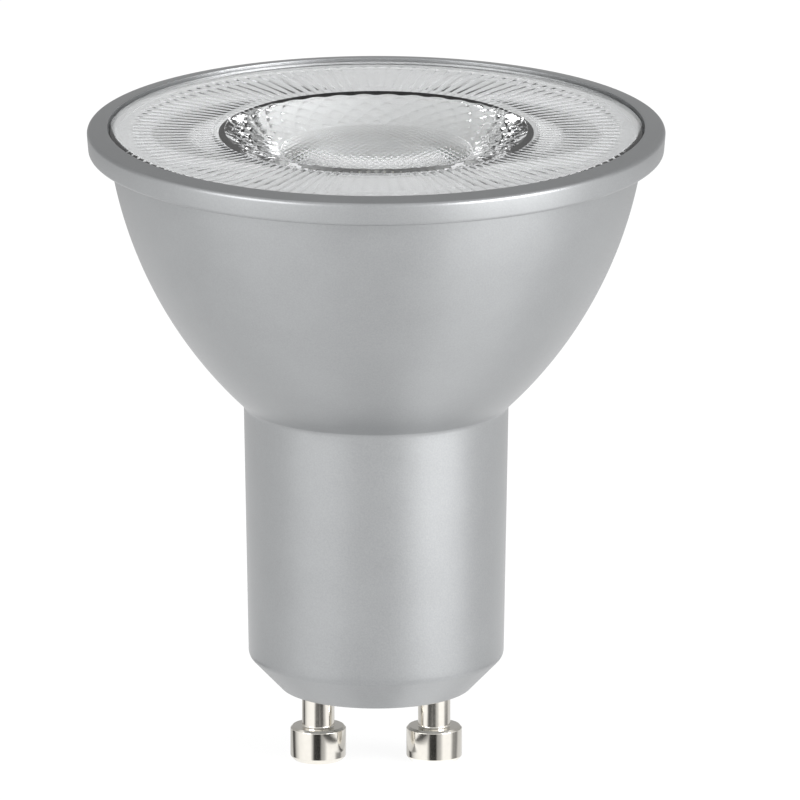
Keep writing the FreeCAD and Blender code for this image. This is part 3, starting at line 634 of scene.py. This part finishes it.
def mix_numbers(tree, share, first, second):
    """Add a mix of two numbers, which gives the second where the share is 1."""
    node = add_node(tree, "ShaderNodeMix", {"Factor": share, "A": first, "B": second})
    return node.outputs["Result"]


# %% [markdown]
# ## Finishes that share an effect
# Moulded and painted surfaces are never one even colour. A small node group mixes two
# noises into a faint mottle and a matching roughness and bump. Each finish below places it
# with its own grain size and strength, and keeps its own shader.

# %% The mottle group
FINE_DETAIL, BROAD_DETAIL = 2, 3
BROAD_SHARE = 0.5
MEAN_NOISE = 0.75
BUMP_HEIGHT = 0.00002


def mottle_group():
    """Build the shared group: colour, roughness and normal from a fine and a broad noise."""
    group = bpy.data.node_groups.new("mottle", "ShaderNodeTree")
    face = group.interface
    face.new_socket("Colour", in_out="INPUT", socket_type="NodeSocketColor")
    for name in ("Roughness", "Fine Scale", "Broad Scale", "Contrast", "Relief"):
        face.new_socket(name, in_out="INPUT", socket_type="NodeSocketFloat")
    face.new_socket("Colour", in_out="OUTPUT", socket_type="NodeSocketColor")
    face.new_socket("Roughness", in_out="OUTPUT", socket_type="NodeSocketFloat")
    face.new_socket("Normal", in_out="OUTPUT", socket_type="NodeSocketVector")
    given = add_node(group, "NodeGroupInput").outputs
    place = add_node(group, "ShaderNodeTexCoord").outputs["Object"]
    fine, broad = [
        add_node(group, "ShaderNodeTexNoise",
                 {"Vector": place, "Scale": given[size], "Detail": detail}).outputs["Fac"]
        for size, detail in (("Fine Scale", FINE_DETAIL), ("Broad Scale", BROAD_DETAIL))]
    both = maths(group, "MULTIPLY_ADD", broad, BROAD_SHARE, fine)
    centred = maths(group, "SUBTRACT", both, MEAN_NOISE)
    shade = maths(group, "MULTIPLY_ADD", centred, given["Contrast"], 1.0)
    tint = add_node(group, "ShaderNodeVectorMath", {0: given["Colour"], "Scale": shade},
                    operation="SCALE")
    bump = add_node(group, "ShaderNodeBump", {
        "Distance": BUMP_HEIGHT, "Height": fine, "Strength": given["Relief"]})
    add_node(group, "NodeGroupOutput", {
        "Colour": tint.outputs[0],
        "Roughness": maths(group, "MULTIPLY", given["Roughness"], shade),
        "Normal": bump.outputs["Normal"]})
    return group


mottle = mottle_group()


def finish(name, colour, rough, metal=0.0, fine=3000, broad=150, contrast=0.15, relief=0.2,
           **shader_values):
    """Make a finish: the mottle feeds colour, roughness and normal of one Principled BSDF."""
    material = bpy.data.materials.new(name)
    material.use_nodes = True
    tree = material.node_tree
    shader = tree.nodes["Principled BSDF"]
    shader.inputs["Metallic"].default_value = metal
    for socket, value in shader_values.items():
        shader.inputs[socket.replace("_", " ")].default_value = value
    effect = add_node(tree, "ShaderNodeGroup", {
        "Colour": (*colour, 1), "Roughness": rough, "Fine Scale": fine,
        "Broad Scale": broad, "Contrast": contrast, "Relief": relief}, node_tree=mottle)
    for made, wanted in (("Colour", "Base Color"), ("Roughness", "Roughness"),
                         ("Normal", "Normal")):
        tree.links.new(effect.outputs[made], shader.inputs[wanted])
    return material


print("shared group:", mottle.name)

# %% [markdown]
# ## Silver paint
# The housing's paint is a clear binder full of fine aluminium flakes. From a step away it
# is a soft satin metal with a barely visible sparkle. A mostly metallic shader of middling
# roughness gives the broad highlights down the barrel, and a noise finer than the eye
# resolves gives the grain.

# %% Silver paint
silver = finish("silver_paint", (0.32, 0.327, 0.333), 0.34, metal=0.8, fine=7000, broad=260,
                contrast=0.22, relief=0.35)

# %% [markdown]
# ## Clear acrylic
# The optic is glass to a shader: full transmission at the plastic's own refractive index.
# Half of the light that only asks whether a lamp is hidden passes straight through it, by
# the shadow ray's output of Light Path, so that the white parts behind it stay lit. The
# moulding's sides and underside are matt, as many such optics are, so that what lies behind
# is seen as an even pale ground. They are the faces that don't look up, and get the second
# finish.

# %% Clear acrylic
ACRYLIC_INDEX = 1.49
SHADOW_PASS = 0.5
CLEAR_ROUGHNESS, FROSTED_ROUGHNESS = 0.03, 0.6


def acrylic_finish(name, rough):
    """Make a finish of the optic: clear, faintly uneven, and half open to shadow rays."""
    material = finish(name, (0.96, 0.97, 0.98), rough, fine=900, broad=120,
                      contrast=0.06, relief=0.02, Transmission_Weight=1.0,
                      IOR=ACRYLIC_INDEX)
    tree = material.node_tree
    path = add_node(tree, "ShaderNodeLightPath").outputs
    open_way = add_node(tree, "ShaderNodeBsdfTransparent",
                        {"Color": (SHADOW_PASS, SHADOW_PASS, SHADOW_PASS, 1)})
    choice = add_node(tree, "ShaderNodeMixShader", {
        "Fac": path["Is Shadow Ray"], 1: tree.nodes["Principled BSDF"].outputs["BSDF"],
        2: open_way.outputs["BSDF"]})
    tree.links.new(choice.outputs["Shader"], tree.nodes["Material Output"].inputs["Surface"])
    return material


acrylic = acrylic_finish("clear_acrylic", CLEAR_ROUGHNESS)
frosted = acrylic_finish("frosted_acrylic", FROSTED_ROUGHNESS)

# %% [markdown]
# ## The other finishes
# The pins are bright nickel. Behind the optic are matt white plastic, the white board and
# its yellow light-emitting packages, and the pressed aluminium cup. The driver's parts are
# out of sight but still get the finish of their kind.

# %% Finishes of the smaller pieces
nickel = finish("nickel_plate", (0.80, 0.77, 0.71), 0.12, metal=1.0, fine=2200, broad=400,
                contrast=0.1, relief=0.08)
white_plastic = finish("white_plastic", (0.80, 0.80, 0.79), 0.5)
FINISHES = {
    "heat_sink": finish("pressed_aluminium", (0.62, 0.63, 0.64), 0.32, metal=1.0, fine=1500),
    "led_board": finish("white_mask", (0.80, 0.80, 0.78), 0.3, fine=1200),
    "board_screw": finish("zinc_steel", (0.50, 0.50, 0.51), 0.28, metal=1.0),
    "led_package": finish("phosphor", (0.85, 0.77, 0.47), 0.45, fine=5000, contrast=0.3),
    "driver_board": finish("green_mask", (0.03, 0.16, 0.06), 0.28, broad=500, contrast=0.4),
    "bulk_capacitor": finish("dark_sleeve", (0.02, 0.03, 0.06), 0.3),
    "output_capacitor": finish("black_sleeve", (0.02, 0.02, 0.025), 0.3),
    "choke_core": finish("ferrite", (0.03, 0.03, 0.035), 0.65, contrast=0.3),
    "choke_winding": finish("enamelled_copper", (0.50, 0.17, 0.06), 0.3, metal=0.9,
                            fine=2600, contrast=0.5, relief=0.5),
    "fusible_resistor": finish("green_enamel", (0.10, 0.25, 0.16), 0.35),
    "film_capacitor": finish("dipped_resin", (0.45, 0.06, 0.02), 0.25, contrast=0.25),
    "bridge_rectifier": finish("chip_resin", (0.02, 0.02, 0.022), 0.55, fine=6000,
                               contrast=0.4, relief=0.4),
    "mains_lead": finish("white_insulation", (0.72, 0.72, 0.70), 0.4),
    "led_lead_positive": finish("red_insulation", (0.45, 0.02, 0.015), 0.4),
    "led_lead_negative": finish("black_insulation", (0.02, 0.02, 0.02), 0.4),
}
for other in ("controller_chip", "freewheel_diode", "sense_resistor"):
    FINISHES[other] = FINISHES["bridge_rectifier"]


def give(piece, material):
    """Replace whatever a piece came with by one finish."""
    piece.data.materials.clear()
    piece.data.materials.append(material)


for start, material in FINISHES.items():
    for name, node in nodes.items():
        if name.startswith(start):
            give(node, material)
give(housing, silver)
give(optic, acrylic)
optic.data.materials.append(frosted)
give(cover, white_plastic)
for pin in pins:
    give(pin, nickel)
print("finishes", len(bpy.data.materials))

# %% [markdown]
# ## Riding on the model
# Each new piece is listed with the node it stands for and the slot of the record its finish
# belongs to. It is hung on the body it rides on, and that node is hidden. This lamp has no
# joints, so there is one body, the root.

# %% Tie the pieces to the model
for piece, node, slot in ((housing, "housing", "silver_paint"),
                          (optic, "optic", "clear_optic"),
                          (cover, "reflector_cover", "white_plastic"),
                          (pins[0], "contact_pin_left", "nickel_plate"),
                          (pins[1], "contact_pin_right", "nickel_plate")):
    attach(piece, "root")
    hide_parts(node)

# %% [markdown]
# ## Light and floor
# The photograph is a plain white studio shot from a little above. Two broad windows of light
# stand in front, a strong one to the right and a weak one to the left, and they draw the two
# long highlights down the barrel and round the rim. An upright wall that is seen from above
# mirrors the floor, never the lamp above it. So the floor answers reflections with the
# glow that a glossy table would give back under each window, and that glow is a function
# of the direction round the lamp. Behind the lamp it answers them with grey, which darkens
# the outer edges of the barrel and the far side of the rim. Close to the two pins it
# answers with light and dark stripes, since polished metal only looks like metal where it
# has something dark to mirror.

# %% Directions of the two windows
WINDOWS = {"right": (54, 1.08), "left": (-50, 0.48)}
WINDOW_EDGE = 0.80
WINDOW_FULL = 0.995


def window_group():
    """Build the group that gives the windows' glow for a direction or a place on the floor.

    The flat part of the vector is made one unit long. Its dot product with a window's own
    direction is the cosine of the angle between them, and a smooth step of it is the glow.
    """
    group = bpy.data.node_groups.new("window_glow", "ShaderNodeTree")
    group.interface.new_socket("Vector", in_out="INPUT", socket_type="NodeSocketVector")
    group.interface.new_socket("Glow", in_out="OUTPUT", socket_type="NodeSocketFloat")
    given = add_node(group, "NodeGroupInput").outputs
    flat = add_node(group, "ShaderNodeVectorMath", {0: given["Vector"], 1: (1, 1, 0)},
                    operation="MULTIPLY")
    unit = add_node(group, "ShaderNodeVectorMath", {0: flat.outputs[0]},
                    operation="NORMALIZE")
    glows = []
    for azimuth, share in WINDOWS.values():
        side = math.radians(azimuth)
        facing = add_node(group, "ShaderNodeVectorMath", {
            0: unit.outputs[0], 1: (math.sin(side), -math.cos(side), 0)},
            operation="DOT_PRODUCT")
        glows.append(smooth_step(group, facing.outputs["Value"], WINDOW_EDGE, WINDOW_FULL,
                                 high=share))
    add_node(group, "NodeGroupOutput", {"Glow": maths(group, "ADD", *glows)})
    return group


window_glow = window_group()

# %% Floor
FLOOR_HALF = 1.5
FLOOR_COLOUR, FLOOR_ROUGHNESS = 0.9, 0.9
FLOOR_SHARE = 0.85
FLOOR_WHITE = 1.05
FLOOR_GLOW = 1.45
GLOW_NEAR = 0.3
GLOW_START = 0.03
GLOW_END = 0.20
PIN_SPACING = 10.0
STRIPE_BRIGHTNESS = 1.2
STRIPES_START, STRIPES_END = 0.028, 0.036
PIN_STRIPES = ((-180, 0.55), (-140, 0.50), (-130, 0.06), (-118, 0.08), (-104, 0.55),
               (-85, 0.90), (-60, 1.0), (-32, 1.0), (-17, 0.04), (7, 0.02), (14, 0.35),
               (26, 0.50), (38, 1.0), (72, 1.0), (86, 0.30), (108, 0.22), (122, 0.60),
               (180, 0.70))
GRAZING_START, GRAZING_FULL = 0.45, 0.65
FLOOR_BEHIND_START, FLOOR_BEHIND_FULL = 0.03, 0.20
FLOOR_BEHIND_GREY = 0.50


def floor_plane():
    """Make a square floor at the pins' feet whose own glow hides most of the shadow.

    To reflections, the windows' glow grows by a smooth step of the distance from the lamp.
    """
    corner = np.array([(-1, -1, 0), (1, -1, 0), (1, 1, 0), (-1, 1, 0)]) * FLOOR_HALF
    plane = mesh_object("floor", corner, np.array([[0, 1, 2, 3]]), np.empty((0, 3), int))
    material = bpy.data.materials.new("floor_white")
    material.use_nodes = True
    material.cycles.emission_sampling = "NONE"
    tree = material.node_tree
    matt = tree.nodes["Principled BSDF"]
    matt.inputs["Base Color"].default_value = (FLOOR_COLOUR, FLOOR_COLOUR, FLOOR_COLOUR, 1)
    matt.inputs["Roughness"].default_value = FLOOR_ROUGHNESS
    matt.inputs["Specular IOR Level"].default_value = 0.0
    place = add_node(tree, "ShaderNodeTexCoord").outputs["Object"]
    path = add_node(tree, "ShaderNodeLightPath").outputs
    split = add_node(tree, "ShaderNodeSeparateXYZ", {0: place}).outputs
    distance = add_node(tree, "ShaderNodeVectorMath", {0: place},
                        operation="LENGTH").outputs["Value"]
    windows = add_node(tree, "ShaderNodeGroup", {"Vector": place}, node_tree=window_glow)
    growth = smooth_step(tree, distance, GLOW_START, GLOW_END, low=GLOW_NEAR)
    glossy = maths(tree, "MULTIPLY", growth, path["Is Glossy Ray"])
    added = maths(tree, "MULTIPLY", glossy, windows.outputs["Glow"])
    strength = maths(tree, "MULTIPLY_ADD", added, FLOOR_GLOW, FLOOR_WHITE)
    behind = smooth_step(tree, split["Y"], FLOOR_BEHIND_START, FLOOR_BEHIND_FULL,
                         high=path["Is Glossy Ray"])
    greyed = mix_numbers(tree, behind, strength, FLOOR_BEHIND_GREY)
    near_level, near_share = floor_by_the_pins(tree, split, distance, path)
    level = mix_numbers(tree, near_share, greyed, near_level)
    glow = add_node(tree, "ShaderNodeEmission", {"Strength": level})
    mostly = maths(tree, "MULTIPLY", seen_rays(tree, path), FLOOR_SHARE)
    choice = add_node(tree, "ShaderNodeMixShader", {
        "Fac": maths(tree, "MAXIMUM", mostly, near_share), 1: matt.outputs["BSDF"],
        2: glow.outputs["Emission"]})
    tree.links.new(choice.outputs["Shader"], tree.nodes["Material Output"].inputs["Surface"])
    plane.data.materials.append(material)
    return plane


def floor_by_the_pins(tree, split, distance, path):
    """Give the level of the floor round the pins, and how much it counts.

    The level depends on the direction from the nearer pin, an arc tangent of the two legs.
    Close to a pin of radius r the angle is divided by 1 - r / 2d at the distance d, which
    turns it into the angle at which the pin mirrors that place, so the stripes stand upright.
    Like the gloss of a table, they are only there for a reflection that meets it at a slant.
    """
    side = maths(tree, "SIGN", split["X"])
    leg = maths(tree, "MULTIPLY_ADD", side, -PIN_SPACING / 2 * MM, split["X"])
    forward = maths(tree, "MULTIPLY", split["Y"], -1)
    turn = maths(tree, "ARCTAN2", leg, forward)
    legs = add_node(tree, "ShaderNodeCombineXYZ", {"X": leg, "Y": forward})
    away = add_node(tree, "ShaderNodeVectorMath", {0: legs.outputs[0]},
                    operation="LENGTH").outputs["Value"]
    nearness = maths(tree, "DIVIDE", -PIN_HEAD_RADIUS / 2 * MM, away)
    mirrored = maths(tree, "DIVIDE", turn, maths(tree, "ADD", nearness, 1.0))
    part = add_node(tree, "ShaderNodeMapRange",
                    {"Value": mirrored, "From Min": -math.pi, "From Max": math.pi})
    stripes = add_node(tree, "ShaderNodeValToRGB", {"Fac": part.outputs["Result"]})
    stops = stripes.color_ramp.elements
    while len(stops) < len(PIN_STRIPES):
        stops.new(0.5)
    for stop, (degrees, grey) in zip(stops, PIN_STRIPES):
        stop.position = degrees / 360 + 0.5
        stop.color = (grey, grey, grey, 1)
    bright = maths(tree, "MULTIPLY", stripes.outputs["Color"], STRIPE_BRIGHTNESS)
    near = smooth_step(tree, distance, STRIPES_END, STRIPES_START)
    slant = add_node(tree, "ShaderNodeLayerWeight").outputs["Facing"]
    grazing = smooth_step(tree, slant, GRAZING_START, GRAZING_FULL,
                          high=path["Is Glossy Ray"])
    return bright, maths(tree, "MULTIPLY", near, grazing)


def seen_rays(tree, path):
    """Give 1 for a camera, glossy or transmission ray and 0 for any other."""
    seen = path["Is Camera Ray"]
    for kind in ("Is Glossy Ray", "Is Transmission Ray"):
        seen = maths(tree, "MAXIMUM", seen, path[kind])
    return seen


floor = floor_plane()

# %% Surroundings
BEHIND_START, BEHIND_FULL = 0.10, 0.45
HIGH_START, HIGH_FULL = -0.08, 0.0
GREY_BEHIND = 0.42
SKY_THROUGH_ACRYLIC = 1.0
SKY_ON_MATT = 0.85


def studio_world():
    """Make the surroundings: white all round, with a grey wall high behind the lamp.

    The camera and the clear optic see only the white. Reflections see the grey wall, which
    darkens the rim's sloping face. What lights the matt surfaces is an even pale grey.
    """
    world = bpy.data.worlds.new("studio")
    bpy.context.scene.world = world
    world.use_nodes = True
    world.cycles.sampling_method = "NONE"
    tree = world.node_tree
    background = tree.nodes["Background"]
    place = add_node(tree, "ShaderNodeTexCoord").outputs["Generated"]
    split = add_node(tree, "ShaderNodeSeparateXYZ", {0: place}).outputs
    wall = maths(tree, "MULTIPLY", smooth_step(tree, split["Y"], BEHIND_START, BEHIND_FULL),
                 smooth_step(tree, split["Z"], HIGH_START, HIGH_FULL))
    level = maths(tree, "MULTIPLY_ADD", wall, GREY_BEHIND - 1, 1.0)
    path = add_node(tree, "ShaderNodeLightPath").outputs
    for kind, amount in (("Is Transmission Ray", SKY_THROUGH_ACRYLIC),
                         ("Is Diffuse Ray", SKY_ON_MATT), ("Is Camera Ray", 1.0)):
        level = mix_numbers(tree, path[kind], level, amount)
    tree.links.new(level, background.inputs["Strength"])
    background.inputs["Color"].default_value = (1, 1, 1, 1)


studio_world()


# %% The windows themselves
def window(name, azimuth, elevation, distance, width, height, brightness):
    """Hang a rectangle of light that faces the lamp's middle.

    Azimuth turns from the camera's side to the right. A rectangle of area A shines as bright
    as a surface of value b when its power is b times pi times A.
    """
    lamp = bpy.data.lights.new(name, "AREA")
    lamp.shape = "RECTANGLE"
    lamp.size = width
    lamp.size_y = height
    lamp.energy = brightness * math.pi * width * height
    pane = bpy.data.objects.new(name, lamp)
    bpy.context.scene.collection.objects.link(pane)
    side, up = math.radians(azimuth), math.radians(elevation)
    way = np.array([math.sin(side) * math.cos(up), -math.cos(side) * math.cos(up),
                    math.sin(up)])
    middle = np.array([0, 0, (base_level + crest_level) / 2 * MM])
    pane.location = middle + way * distance
    pane.rotation_euler = (math.pi / 2 - up, 0, side)


WINDOW_BRIGHTNESS = 6.5
WINDOW_ELEVATION = 18
WINDOW_DISTANCE = 0.7
WINDOW_WIDTH, WINDOW_HEIGHT = 0.45, 0.5
for name, (azimuth, share) in WINDOWS.items():
    window(f"{name}_window", azimuth, WINDOW_ELEVATION, WINDOW_DISTANCE, WINDOW_WIDTH,
           WINDOW_HEIGHT, WINDOW_BRIGHTNESS * share)

# %% Camera
CAMERA_ELEVATION = 14.9
CAMERA_AIM = (2.055, 0.0, 32.0)
CAMERA_DISTANCE = 1.0
PICTURE_WIDTH = 69.03
CAMERA_SIGHT = 10
camera_data = bpy.data.cameras.new("camera")
camera_data.type = "ORTHO"
camera_data.ortho_scale = PICTURE_WIDTH * MM
camera_data.clip_end = CAMERA_SIGHT
camera = bpy.data.objects.new("camera", camera_data)
bpy.context.scene.collection.objects.link(camera)
tilt = math.radians(CAMERA_ELEVATION)
aim = np.array(CAMERA_AIM) * MM
camera.location = aim + np.array([0, -math.cos(tilt), math.sin(tilt)]) * CAMERA_DISTANCE
camera.rotation_euler = (math.pi / 2 - tilt, 0, 0)
bpy.context.scene.camera = camera
bpy.context.scene.view_settings.view_transform = "Standard"
